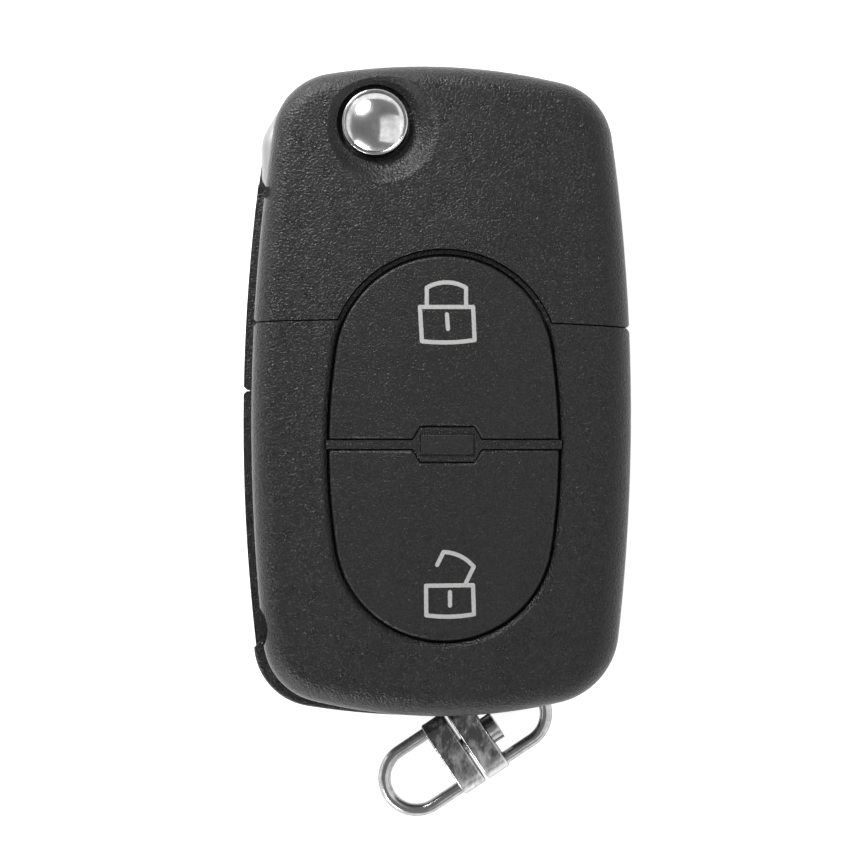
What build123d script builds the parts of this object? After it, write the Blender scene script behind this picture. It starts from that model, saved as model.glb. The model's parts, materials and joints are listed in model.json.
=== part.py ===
from build123d import *

import os
from math import atan, cos, radians, sin, sqrt

# A folding key fob shell, in millimetres: a head with a spring-out blade, a remote case with
# two push buttons, and a swivel ring. +X is to the right, +Y points to the blade pivot and +Z
# is the button face. The fob lies on its back, and the origin is the centre of that back face.

# Case outline. Both halves share it, apart from the blade side and the lower end.
case_thickness = 16.0
parting_z = 8.3
case_right = 22.6
rear_left = 23.0
blade_side_step = 1.6
case_top = 37.55
top_apex_x = -1.75
rear_bottom = 38.2
rear_bottom_x = -1.2
front_bottom = 37.65
front_bottom_x = 0.45
side_radius = 230.0
widest_left_y = -3.8
widest_right_y = -2.6
top_radius = 70.0
rear_bottom_radius = 88.0
front_bottom_radius = 62.0
rear_blade_corner = 10.0
top_corner = 7.6
lower_right_corner = 8.8
lower_left_corner = 7.5
face_crown_radius = 420.0
front_edge_radius = 2.8
rear_edge_radius = 2.0
parting_edge = 0.35
parting_break = 0.2

# Moulded walls.
wall = 1.6
rear_floor = 1.8
rib = 1.2
face_wall = 1.6
seam_gap = 0.16
front_seam_y = 8.15
front_seam_x = -6.0
front_seam_radius = 430.0
rear_seam_y = 0.2
seam_notch = 0.64
lap_reach = 0.6
lap_height = 0.8
lip_x = 12.0
lip_height = 0.7
lip_thickness = 0.8
lip_root = 1.2
lip_gap = 0.1
lip_high_y = 31.0
lip_low_y = -22.0
rim_groove_width = 0.35
rim_groove_end_x = -9.0
rim_groove_depth = 0.5
slot_lip = 0.9

# Blade, its slot and its collar.
pivot_x = -7.0
pivot_y = 30.8
blade_x = -15.2
blade_width = 8.8
blade_thickness = 2.9
blade_tip_y = -28.2
blade_groove_width = 3.0
blade_groove_depth = 0.7
blade_side_clearance = 0.4
blade_face_clearance = 0.4
slot_tip_clearance = 1.2
collar_thickness = 5.5
collar_clearance = 0.2
collar_end_y = 23.9
collar_hub_radius = 6.4
collar_shoulder_radius = 4.5
collar_shoulder_y = 28.6
collar_top_radius = 3.4
collar_top_x = -14.9
collar_top_y = 32.7
collar_corner_radius = 1.5
collar_side_wall = 0.95
collar_bore_radius = 4.85
trunnion_radius = 5.65
trunnion_length = 2.7
bearing_clearance = 0.05
bearing_wall = 1.3
tang_width = 6.0
tang_length = 4.7
blade_pin_radius = 0.8
blade_pin_y = 26.3
blade_tip_bevel = 2.6
collar_edge = 1.35

# Release button, its spring and the pivot under it.
release_radius = 3.8
release_hole_gap = 0.63
release_travel = 2.0
release_top = 16.9
release_skirt_top = 15.7
release_rim = 0.36
release_guide_length = 1.2
release_flange_thickness = 1.15
release_stem_radius = 3.4
release_stem_bore = 2.1
stem_press_room = 2.6
post_press_room = 1.6
dish_radius = 6.9
dish_rim_radius = 1.6
dish_depth = 2.2
dish_shift_x = 0.6
dish_shift_y = -0.5
pivot_cap_thickness = 1.0
pivot_post_radius = 1.7
spring_wire = 0.7
spring_radius = 3.95
spring_turns = 5
running_gap = 0.1
seat_gap = 0.05

# Button pad.
pad_x = 0.9
pad_y = -6.65
pad_half_width = 13.175
oval_side_radius = 77.0
oval_end_radius = 12.458
pad_gap = 0.3
pad_rim = 0.45
notch_gap = 0.12
rim_chamfer = 0.55
tongue_rim_top = 15.15
button_recess = 0.1
button_thickness = 1.7
button_travel = 0.5
button_edge = 0.3
plate_thickness = 1.2
plate_gap = 0.1
plate_overlap = 0.8
plunger_width = 7.6
plunger_height = 5.6
plunger_gap = 0.2
plunger_offset = 8.5
clip_reach = 0.45
clip_thickness = 0.5
bridge_y = -6.2
bridge_width = 1.0
bridge_gap = 0.15
bridge_recess = 0.35
hexagon_width = 8.5
hexagon_height = 3.9
hexagon_flat = 6.2
window_x = 1.28
window_width = 6.1
window_height = 2.35
window_recess = 0.05
window_flange = 0.6
window_flange_thickness = 0.8
membrane_width = 18.0
membrane_height = 26.0
membrane_web = 0.7
membrane_border = 1.0
dome_radius = 2.6
dome_height = 0.4
window_edge = 0.2

# Screws.
screw_radius = 1.0
screw_head_radius = 1.9
screw_head_height = 1.1
screw_length = 11.5
pivot_screw_length = 7.5
boss_radius = 2.4
head_screw_x = 15.2
head_screw_y = 28.0
remote_screw_x = -12.2
remote_screw_y = -32.6
cross_slot_width = 0.5
cross_slot_depth = 0.6

# Swivel and the post that holds it.
swivel_x = 3.5
swivel_y = -42.15
swivel_z = 5.2
swivel_angle = 33.5
ring_wire = 1.48
ring_radius = 3.8
ring_centre = 6.98
swivel_block_length = 9.7
swivel_block_depth = 3.0
swivel_block_thickness = 3.2
swivel_gap = 0.35
swivel_block_edge = 0.25
ring_leg_seat = 1.6
ring_leg_gap = 0.02
rivet_radius = 1.0
rivet_head_radius = 1.7
rivet_head_thickness = 1.3
rivet_tail_radius = 1.4
rivet_tail_thickness = 0.5
post_radius = 0.75
post_x = 9.8
post_y = -36.2
post_seat = 1.5
pocket_floor = 3.2
pocket_clearance = 0.35
ring_swing_degrees = 60.0

# Battery clips, the chip's nest and the catch between head and remote.
cell_x = 7.0
cell_y = -14.0
cell_radius = 8.2
cell_wall_height = 2.0
clip_metal = 0.3
clip_width = 4.0
clip_rise = 4.0
clip_leaf_rise = 1.2
clip_bend = 0.5
chip_x = 5.0
chip_y = 9.5
chip_length = 12.4
chip_width = 6.4
chip_nest_height = 3.0
catch_width = 6.0
catch_reach = 4.0
catch_thickness = 1.4
catch_z = 3.4
catch_gap = 0.2
finger_notch_y = -27.6
finger_notch_radius = 3.7
finger_notch_depth = 0.75

# Heights that follow from the sizes above.
ceiling_z = case_thickness - face_wall
blade_z = parting_z - blade_face_clearance - blade_thickness / 2
ledge_z = parting_z - 2 * blade_face_clearance - blade_thickness
collar_low = blade_z - collar_thickness / 2
collar_high = blade_z + collar_thickness / 2
chamber_low = collar_low - collar_clearance
chamber_high = collar_high + collar_clearance
trunnion_high = collar_high + trunnion_length
trunnion_low = rear_floor + seat_gap
plate_top = case_thickness - button_recess - button_thickness - button_travel - plate_gap
plate_low = plate_top - plate_thickness
clip_top = plate_low - seat_gap
clip_low = clip_top - clip_thickness
membrane_top = clip_low - button_travel - seat_gap
membrane_low = membrane_top - dome_height - membrane_web
button_low = plate_top + plate_gap + button_travel
release_flange_high = trunnion_high + seat_gap
release_flange_low = release_flange_high - release_flange_thickness
release_stem_low = rear_floor + pivot_cap_thickness + release_travel + stem_press_room
pivot_post_top = release_flange_high - release_travel - post_press_room
clip_floor = rear_floor + clip_metal / 2

# Places in plan that follow from them.
front_left = rear_left - blade_side_step
slot_wall_x = blade_x + blade_width / 2 + blade_side_clearance
slot_end_y = blade_tip_y - slot_tip_clearance
pivot = (pivot_x, pivot_y)
dish_place = (pivot_x + dish_shift_x, pivot_y + dish_shift_y)
bearing_radius = trunnion_radius + bearing_clearance
release_flange_radius = collar_bore_radius - running_gap
pin_place = (blade_x, blade_pin_y)
post_place = (post_x, post_y)
seam_centre = (front_seam_x, front_seam_y - front_seam_radius)
plunger_places = (pad_y + plunger_offset, pad_y - plunger_offset)
case_span = 4 * case_top
collar_outer_x = blade_x - blade_width / 2 - collar_side_wall
collar_sweep = sqrt((pivot_x - collar_outer_x) ** 2 + (pivot_y - collar_end_y) ** 2)
chamber_radius = collar_sweep + collar_clearance
chamber_y = collar_end_y - 2 * collar_clearance
collar_shoulder_x = collar_outer_x + collar_shoulder_radius
pivot_axis = Axis((pivot_x, pivot_y, 0), (0, 0, 1))
pivot_section = Plane(origin=(pivot_x, pivot_y, 0), x_dir=(1, 0, 0), z_dir=(0, -1, 0))
swivel_direction = Vector(cos(radians(swivel_angle)), sin(radians(swivel_angle)), 0)
swivel_across = Vector(-sin(radians(swivel_angle)), cos(radians(swivel_angle)), 0)
swivel_origin = Vector(swivel_x, swivel_y, swivel_z)
swivel_face = swivel_gap / 2 + swivel_block_depth
rivet_tail_floor = rivet_tail_thickness - swivel_face
oval_side_offset = oval_side_radius - pad_half_width
oval_end_offset = sqrt((oval_side_radius - oval_end_radius) ** 2 - oval_side_offset**2)
pad_half_height = oval_end_radius + oval_end_offset
swivel_plane = Plane(origin=swivel_origin, x_dir=swivel_direction, z_dir=(0, 0, 1))


def case_outline(left, bottom, bottom_x, bottom_radius, blade_corner, inset=0.0):
    """Plan outline of a case half: four wide arcs that meet in rounded corners."""
    with BuildSketch() as outline:
        with Locations(Location((case_right - side_radius, widest_right_y, 0), (0, 0, 90))):
            Circle(side_radius - inset)
        with Locations((side_radius - left, widest_left_y)):
            Circle(side_radius - inset, mode=Mode.INTERSECT)
        with Locations((top_apex_x, case_top - top_radius)):
            Circle(top_radius - inset, mode=Mode.INTERSECT)
        with Locations((bottom_x, bottom_radius - bottom)):
            Circle(bottom_radius - inset, mode=Mode.INTERSECT)
        corners = {
            (-left, case_top): blade_corner,
            (case_right, case_top): top_corner,
            (case_right, -bottom): lower_right_corner,
            (-left, -bottom): lower_left_corner,
        }
        for corner, radius in corners.items():
            fillet(outline.vertices().sort_by_distance(corner)[0], radius - inset)
    return outline.sketch


def left_side_at(y, left):
    """Where the left side of a case half lies at a place along its length."""
    return side_radius - left - sqrt(side_radius**2 - (y - widest_left_y) ** 2)


def right_side_at(y):
    """Where the right side of the case lies at a place along its length."""
    return case_right - side_radius + sqrt(side_radius**2 - (y - widest_right_y) ** 2)


def rear_outline(inset=0.0):
    return case_outline(
        rear_left, rear_bottom, rear_bottom_x, rear_bottom_radius, rear_blade_corner, inset
    )


def front_outline(inset=0.0):
    return case_outline(
        front_left, front_bottom, front_bottom_x, front_bottom_radius, top_corner, inset
    )


def pad_outline(grow=0.0):
    """Oval of the button pad: two side arcs whose tips are rounded into the end arcs."""
    with BuildSketch() as oval:
        with Locations(Location((pad_x - oval_side_offset, pad_y, 0), (0, 0, 90))):
            Circle(oval_side_radius + grow)
        with Locations(Location((pad_x + oval_side_offset, pad_y, 0), (0, 0, 90))):
            Circle(oval_side_radius + grow, mode=Mode.INTERSECT)
        fillet(oval.vertices(), oval_end_radius + grow)
    return oval.sketch


def bridge_outline(grow=0.0):
    """Bar between the buttons, widened to a hexagon round the indicator window."""
    half = hexagon_height / 2 + grow
    with BuildSketch() as bridge:
        with Locations((pad_x, bridge_y)):
            Rectangle(4 * pad_half_width, bridge_width + 2 * grow)
        with Locations((window_x, bridge_y)):
            Polygon(
                (-hexagon_width / 2 - grow, 0),
                (-hexagon_flat / 2, half),
                (hexagon_flat / 2, half),
                (hexagon_width / 2 + grow, 0),
                (hexagon_flat / 2, -half),
                (-hexagon_flat / 2, -half),
                align=None,
            )
    return bridge.sketch


def ring_centre_at(swing):
    """Centre of the inner ring's arc when the swivel has swung about its post."""
    rest = swivel_origin + swivel_direction * ring_centre - Vector(post_x, post_y, swivel_z)
    turned = rest.rotate(Axis.Z, swing)
    return (post_x + turned.X, post_y + turned.Y)


def pocket_outline(grow=0.0):
    """Room for the inner ring and its block as the swivel swings about the post."""
    room = pocket_clearance + grow
    with BuildSketch() as pocket:
        with BuildSketch(mode=Mode.PRIVATE) as rings:
            with Locations(ring_centre_at(0), ring_centre_at(ring_swing_degrees)):
                Circle(ring_radius + ring_wire / 2 + room)
            make_hull()
        add(rings.sketch)
        block_end = swivel_origin - swivel_direction * room
        with Locations(Location((block_end.X, block_end.Y, 0), (0, 0, swivel_angle))):
            Rectangle(
                ring_centre + room, swivel_block_length + 2 * room, align=(Align.MIN, Align.CENTER)
            )
    return pocket.sketch


def column(place, radius, low, high, bore=0.0, mode=Mode.ADD):
    """Round column in the part being made, or a tube where a bore is given."""
    with BuildSketch(Plane.XY.offset(low)) as section:
        with Locations(place):
            Circle(radius)
            if bore:
                Circle(bore, mode=Mode.SUBTRACT)
    extrude(section.sketch, amount=high - low, mode=mode)


def block(x_range, y_range, z_range, mode=Mode.ADD):
    """Rectangular block between three pairs of limits, in the part being made."""
    with BuildSketch(Plane.XY.offset(z_range[0])) as section:
        with Locations((x_range[0], y_range[0])):
            Rectangle(x_range[1] - x_range[0], y_range[1] - y_range[0], align=Align.MIN)
    extrude(section.sketch, amount=z_range[1] - z_range[0], mode=mode)


def prism(sketch, low, high, mode=Mode.ADD):
    """Extrude a finished outline between two heights."""
    with BuildSketch(Plane.XY.offset(low)) as section:
        add(sketch)
    extrude(section.sketch, amount=high - low, mode=mode)


rear_inside = rear_outline(wall)
front_inside = front_outline(wall)

# Walls that close the collar's chamber off from the rest of the head, in both halves.
with BuildSketch() as chamber_walls:
    with Locations(pivot):
        Circle(chamber_radius + rib)
    with Locations((0, chamber_y - rib)):
        Rectangle(case_span, case_span, align=(Align.CENTER, Align.MIN), mode=Mode.INTERSECT)
    add(rear_inside, mode=Mode.INTERSECT)
with BuildSketch() as chamber_room:
    with Locations(pivot):
        Circle(chamber_radius)
    with Locations((0, chamber_y)):
        Rectangle(case_span, case_span, align=(Align.CENTER, Align.MIN), mode=Mode.INTERSECT)
with BuildSketch() as chamber_ring:
    add(chamber_walls.sketch)
    add(chamber_room.sketch, mode=Mode.SUBTRACT)

# Slot floor ribs: evenly spaced under the blade, from the ledge to the slot's inner wall.
slot_rib_pitch = 6.5


def rear_blank():
    """Whole rear half of the case, open at the parting plane."""
    prism(rear_outline(), 0, parting_z)
    fillet(edges().group_by(Axis.Z)[0], rear_edge_radius)
    fillet(edges().group_by(Axis.Z)[-1], parting_edge)
    prism(rear_inside, rear_floor, parting_z, Mode.SUBTRACT)


def blade_slot():
    """Room for the blade, open to the left above the ledge."""
    block((-case_span, slot_wall_x), (slot_end_y, case_span), (ledge_z, parting_z), Mode.SUBTRACT)


def slot_walls(low_y, high_y):
    """Inner wall of the blade slot, and the ribs under the blade, between two places."""
    block((slot_wall_x, slot_wall_x + rib), (low_y, high_y), (rear_floor, parting_z))
    count = int((high_y - low_y - rib) / slot_rib_pitch)
    for step in range(count):
        y = low_y + rib + (step + 0.5) * slot_rib_pitch
        with BuildSketch(Plane.XY.offset(rear_floor)) as section:
            with Locations((-case_span / 2, y)):
                Rectangle(case_span / 2 + slot_wall_x, rib, align=(Align.MIN, Align.CENTER))
            add(rear_inside, mode=Mode.INTERSECT)
        extrude(section.sketch, amount=ledge_z - rear_floor)


def front_blank():
    """Whole front half of the case, hollow, with its crowned face and rounded edge."""
    prism(front_outline(), parting_z, case_thickness)
    chamfer(edges().group_by(Axis.Z)[0], parting_break)
    crown_centre = case_thickness - face_crown_radius
    with Locations(Location((pad_x, 0, crown_centre), (90, 0, 0))):
        Cylinder(face_crown_radius, case_span, mode=Mode.INTERSECT)
    top_edges = faces().sort_by(Axis.Z)[-1].edges()
    fillet(top_edges, front_edge_radius)
    prism(front_inside, parting_z, ceiling_z, Mode.SUBTRACT)


def slot_roof(low_y, high_y):
    """Shelf of the front half that closes the blade slot from above."""
    with BuildSketch(Plane.XY.offset(parting_z)) as section:
        with Locations((-case_span / 2, low_y)):
            Rectangle(case_span / 2 + slot_wall_x + rib, high_y - low_y, align=Align.MIN)
        add(front_inside, mode=Mode.INTERSECT)
    extrude(section.sketch, amount=rib)


def seam_notches(places, low, high):
    """Small V notches where a seam runs out at the sides of the case."""
    with BuildSketch(Plane.XY.offset(low)) as notches:
        for place in places:
            with Locations(Location((place[0], place[1], 0), (0, 0, 45))):
                Rectangle(seam_notch, seam_notch)
    extrude(notches.sketch, amount=high - low, mode=Mode.SUBTRACT)


def lip_band(outer, inner, low, high, y_range, mode=Mode.ADD):
    """Strip along the right side between two insets of the front outline, or its room."""
    with BuildSketch(Plane.XY.offset(low)) as band:
        add(outer)
        add(inner, mode=Mode.SUBTRACT)
        with Locations((lip_x, y_range[0])):
            Rectangle(case_span, y_range[1] - y_range[0], align=Align.MIN, mode=Mode.INTERSECT)
    extrude(band.sketch, amount=high - low, mode=mode)


def locating_lip(y_range):
    """Lip of the rear half that stands up inside the front half's right wall."""
    inner = front_outline(wall + lip_gap + lip_thickness)
    lip_band(rear_inside, inner, parting_z - lip_root, parting_z, y_range)
    lip_band(front_outline(wall + lip_gap), inner, parting_z, parting_z + lip_height, y_range)


def lip_room():
    """Room for both rear halves' lips inside the front half."""
    inner = front_outline(wall + 2 * lip_gap + lip_thickness)
    top = parting_z + lip_height + lip_gap
    y_range = (lip_low_y - lip_gap, lip_high_y + lip_gap)
    lip_band(front_inside, inner, parting_z, top, y_range, Mode.SUBTRACT)


def seam_side(radius, keep_remote):
    """Keep what lies on one side of the arc where head and remote meet on the face."""
    mode = Mode.INTERSECT if keep_remote else Mode.SUBTRACT
    column(seam_centre, radius, 0, 2 * case_thickness, mode=mode)


def screw_tunnel(place):
    """Hole and countersink for a case screw, from the back."""
    column(place, screw_radius + running_gap, 0, parting_z, mode=Mode.SUBTRACT)
    with BuildSketch(Plane.XY) as mouth:
        with Locations(place):
            Circle(screw_head_radius + running_gap)
    with BuildSketch(Plane.XY.offset(screw_head_height)) as throat:
        with Locations(place):
            Circle(screw_radius + running_gap)
    loft([mouth.sketch.face(), throat.sketch.face()], mode=Mode.SUBTRACT)


def case_screw(place, length):
    """Countersunk screw with a cross recess, its head flush with the back face."""
    column(place, screw_radius, 0, length)
    with BuildSketch(Plane.XY.offset(seat_gap)) as rim:
        with Locations(place):
            Circle(screw_head_radius)
    with BuildSketch(Plane.XY.offset(screw_head_height)) as neck:
        with Locations(place):
            Circle(screw_radius)
    loft([rim.sketch.face(), neck.sketch.face()])
    with Locations((place[0], place[1], 0)):
        Box(2 * screw_radius, cross_slot_width, 2 * cross_slot_depth, mode=Mode.SUBTRACT)
        Box(cross_slot_width, 2 * screw_radius, 2 * cross_slot_depth, mode=Mode.SUBTRACT)


head_screw = (head_screw_x, head_screw_y)
remote_screw = (remote_screw_x, remote_screw_y)
catch_range = (pad_x - catch_width / 2, pad_x + catch_width / 2)
rear_notches = (
    (left_side_at(rear_seam_y, rear_left), rear_seam_y),
    (right_side_at(rear_seam_y), rear_seam_y),
)
front_left_y = seam_centre[1] + sqrt(front_seam_radius**2 - (-front_left - front_seam_x) ** 2)
front_right_y = seam_centre[1] + sqrt(front_seam_radius**2 - (case_right - front_seam_x) ** 2)
front_notches = (
    (left_side_at(front_left_y, front_left), front_left_y),
    (right_side_at(front_right_y), front_right_y),
)

# Rear cover of the head: bearing for the collar, slot ribs, chamber walls, the chip's nest and
# a screw boss. Its floor laps under the remote's, so the seam doesn't show through.
with BuildPart() as head_rear_cover:
    rear_blank()
    seam_y = rear_seam_y + seam_gap / 2
    with BuildSketch(Plane.YZ):
        with BuildLine():
            Polyline(
                (seam_y - lap_reach, 0),
                (case_span, 0),
                (case_span, parting_z),
                (seam_y, parting_z),
                (seam_y, lap_height),
                (seam_y - lap_reach, lap_height),
                close=True,
            )
        make_face()
    extrude(amount=case_span, both=True, mode=Mode.INTERSECT)
    slot_walls(seam_y, chamber_y)
    with BuildSketch(Plane.XY.offset(rear_floor)):
        with Locations((slot_wall_x, seam_y)):
            Rectangle(case_span, rib, align=Align.MIN)
        add(rear_inside, mode=Mode.INTERSECT)
    extrude(amount=parting_z - rear_floor)
    prism(chamber_ring.sketch, rear_floor, parting_z)
    column(head_screw, boss_radius, rear_floor, parting_z)
    blade_slot()
    with BuildSketch(Plane.XY.offset(rear_floor)):
        with Locations(pivot):
            Circle(bearing_radius + bearing_wall)
        add(rear_inside, mode=Mode.INTERSECT)
    extrude(amount=chamber_low - rear_floor)
    column(pivot, bearing_radius, rear_floor, chamber_low, mode=Mode.SUBTRACT)
    prism(chamber_room.sketch, chamber_low, parting_z, Mode.SUBTRACT)
    chip_range = (chip_x - chip_length / 2, chip_x + chip_length / 2)
    chip_span = (chip_y - chip_width / 2, chip_y + chip_width / 2)
    nest_z = (rear_floor, rear_floor + chip_nest_height)
    nest_x = (chip_range[0] - rib, chip_range[1] + rib)
    block(nest_x, (chip_span[0] - rib, chip_span[1] + rib), nest_z)
    block(chip_range, chip_span, nest_z, Mode.SUBTRACT)
    locating_lip((seam_y + rib, lip_high_y))
    screw_tunnel(pivot)
    screw_tunnel(head_screw)
    seam_notches(rear_notches, 0, parting_z)
    catch_y = seam_y - seam_gap - catch_reach
    block(catch_range, (catch_y, seam_y + rib / 2), (catch_z, catch_z + catch_thickness))
    block(catch_range, (catch_y, catch_y + rib), (catch_z, catch_z + 1.5 * catch_thickness))
head_rear_cover.part.label = "head_rear_cover"

# Front cover of the head: dish and hole of the release button, and the notch for the pad.
with BuildPart() as head_front_cover:
    front_blank()
    notch = pad_gap + pad_rim + notch_gap
    prism(pad_outline(notch), plate_low, 2 * case_thickness, Mode.SUBTRACT)
    slot_roof(rear_seam_y, chamber_y)
    head_seam_radius = front_seam_radius + seam_gap / 2
    seam_side(head_seam_radius, keep_remote=False)
    with BuildSketch(Plane.XY.offset(parting_z)):
        with Locations(seam_centre):
            Circle(head_seam_radius + rib)
            Circle(head_seam_radius, mode=Mode.SUBTRACT)
        add(front_inside, mode=Mode.INTERSECT)
    extrude(amount=ceiling_z - parting_z)
    tongue_room = pad_outline(notch + plate_overlap)
    prism(tongue_room, plate_low - seam_gap, ceiling_z, Mode.SUBTRACT)
    prism(chamber_ring.sketch, parting_z, ceiling_z)
    with BuildSketch(Plane.XY.offset(chamber_high)):
        add(chamber_walls.sketch)
        add(front_inside, mode=Mode.INTERSECT)
    extrude(amount=rib)
    prism(chamber_room.sketch, parting_z, chamber_high, Mode.SUBTRACT)
    with BuildSketch(Plane.XY.offset(chamber_high)):
        with Locations(pivot):
            Circle(bearing_radius + bearing_wall)
        add(front_inside, mode=Mode.INTERSECT)
    extrude(amount=ceiling_z + seat_gap - chamber_high)
    column(head_screw, boss_radius, parting_z, ceiling_z)
    column(head_screw, screw_radius + ring_leg_gap, parting_z, screw_length + rib, mode=Mode.SUBTRACT)
    column(pivot, bearing_radius, parting_z, trunnion_high + running_gap, mode=Mode.SUBTRACT)
    guide_top = trunnion_high + running_gap + release_guide_length
    column(pivot, release_radius + running_gap, parting_z, guide_top, mode=Mode.SUBTRACT)
    release_hole = release_radius + release_hole_gap
    column(pivot, release_hole, guide_top, 2 * case_thickness, mode=Mode.SUBTRACT)
    dish_slope = 2 * atan(dish_depth / dish_radius)
    dish_bowl_radius = dish_radius / sin(dish_slope) - dish_rim_radius
    bowl_edge = (
        dish_bowl_radius * sin(dish_slope),
        case_thickness - dish_rim_radius * (1 - cos(dish_slope)),
    )
    dish_section = Plane(origin=(*dish_place, 0), x_dir=(1, 0, 0), z_dir=(0, -1, 0))
    with BuildSketch(dish_section):
        with BuildLine():
            TangentArc((0, case_thickness - dish_depth), bowl_edge, tangent=(1, 0))
            TangentArc((dish_radius, case_thickness), bowl_edge, tangent=(-1, 0))
            Polyline(
                (dish_radius, case_thickness),
                (dish_radius, case_thickness + dish_depth),
                (0, case_thickness + dish_depth),
                (0, case_thickness - dish_depth),
            )
        make_face()
    revolve(axis=Axis((*dish_place, 0), (0, 0, 1)), mode=Mode.SUBTRACT)
    lip_room()
    seam_notches(front_notches, parting_z, 2 * case_thickness)
head_front_cover.part.label = "head_front_cover"

# Rear cover of the remote: end of the blade slot, swivel pocket, cell holder and screw boss.
with BuildPart() as remote_rear_cover:
    rear_blank()
    remote_seam_y = rear_seam_y - seam_gap / 2
    with BuildSketch(Plane.YZ):
        with BuildLine():
            Polyline(
                (-case_span, 0),
                (remote_seam_y - lap_reach, 0),
                (remote_seam_y - lap_reach, lap_height + seam_gap),
                (remote_seam_y, lap_height + seam_gap),
                (remote_seam_y, parting_z),
                (-case_span, parting_z),
                close=True,
            )
        make_face()
    extrude(amount=case_span, both=True, mode=Mode.INTERSECT)
    blade_slot()
    slot_walls(slot_end_y, remote_seam_y)
    with BuildSketch(Plane.XY.offset(rear_floor)):
        with Locations((slot_wall_x, remote_seam_y - rib)):
            Rectangle(case_span, rib, align=Align.MIN)
        with Locations((-case_span / 2, slot_end_y - rib)):
            Rectangle(case_span / 2 + slot_wall_x + rib, rib, align=Align.MIN)
        add(rear_inside, mode=Mode.INTERSECT)
    extrude(amount=parting_z - rear_floor)
    with BuildSketch(Plane.XY.offset(rear_floor)):
        with Locations((pad_x, slot_end_y)):
            Rectangle(case_span, case_span, align=Align.MAX)
        add(rear_inside, mode=Mode.INTERSECT)
        add(front_inside, mode=Mode.SUBTRACT)
    extrude(amount=parting_z - rear_floor)
    with BuildSketch(Plane.XY.offset(parting_z - rim_groove_depth)):
        add(front_outline(-rim_groove_width))
        add(front_outline(), mode=Mode.SUBTRACT)
        with Locations((rim_groove_end_x, 0)):
            Rectangle(case_span, case_span, align=Align.MAX, mode=Mode.INTERSECT)
    extrude(amount=rim_groove_depth, mode=Mode.SUBTRACT)
    slot_edge_x = left_side_at(slot_end_y, rear_left)
    with BuildSketch(Plane.XY.offset(ledge_z)):
        Polygon(
            (slot_edge_x + slot_lip, slot_end_y),
            (slot_edge_x - slot_lip, slot_end_y),
            (slot_edge_x - slot_lip, slot_end_y - 2 * slot_lip),
            align=None,
        )
    extrude(amount=parting_z - ledge_z, mode=Mode.SUBTRACT)
    catch_low = catch_z - catch_gap
    catch_high = catch_z + 1.5 * catch_thickness + catch_gap
    block(
        (catch_range[0] - catch_gap, catch_range[1] + catch_gap),
        (remote_seam_y - 2 * rib, remote_seam_y + rib),
        (catch_low, catch_high),
        Mode.SUBTRACT,
    )
    column(remote_screw, boss_radius, rear_floor, parting_z)
    with BuildSketch(Plane.XY.offset(rear_floor)):
        add(pocket_outline(rib))
        add(rear_inside, mode=Mode.INTERSECT)
    extrude(amount=parting_z - rear_floor)
    prism(pocket_outline(), pocket_floor, parting_z, Mode.SUBTRACT)
    post_hole = post_radius + ring_leg_gap
    column(post_place, post_hole, pocket_floor - post_seat, pocket_floor, mode=Mode.SUBTRACT)
    column((cell_x, cell_y), cell_radius + rib, rear_floor, rear_floor + cell_wall_height, cell_radius)
    for side in (-1, 1):
        gap_x = cell_x + side * (cell_radius + rib / 2)
        block(
            (gap_x - rib, gap_x + rib),
            (cell_y - clip_width / 2 - catch_gap, cell_y + clip_width / 2 + catch_gap),
            (rear_floor, parting_z),
            Mode.SUBTRACT,
        )
    locating_lip((lip_low_y, remote_seam_y - rib))
    screw_tunnel(remote_screw)
    seam_notches(rear_notches, 0, parting_z)
remote_rear_cover.part.label = "remote_rear_cover"

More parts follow.
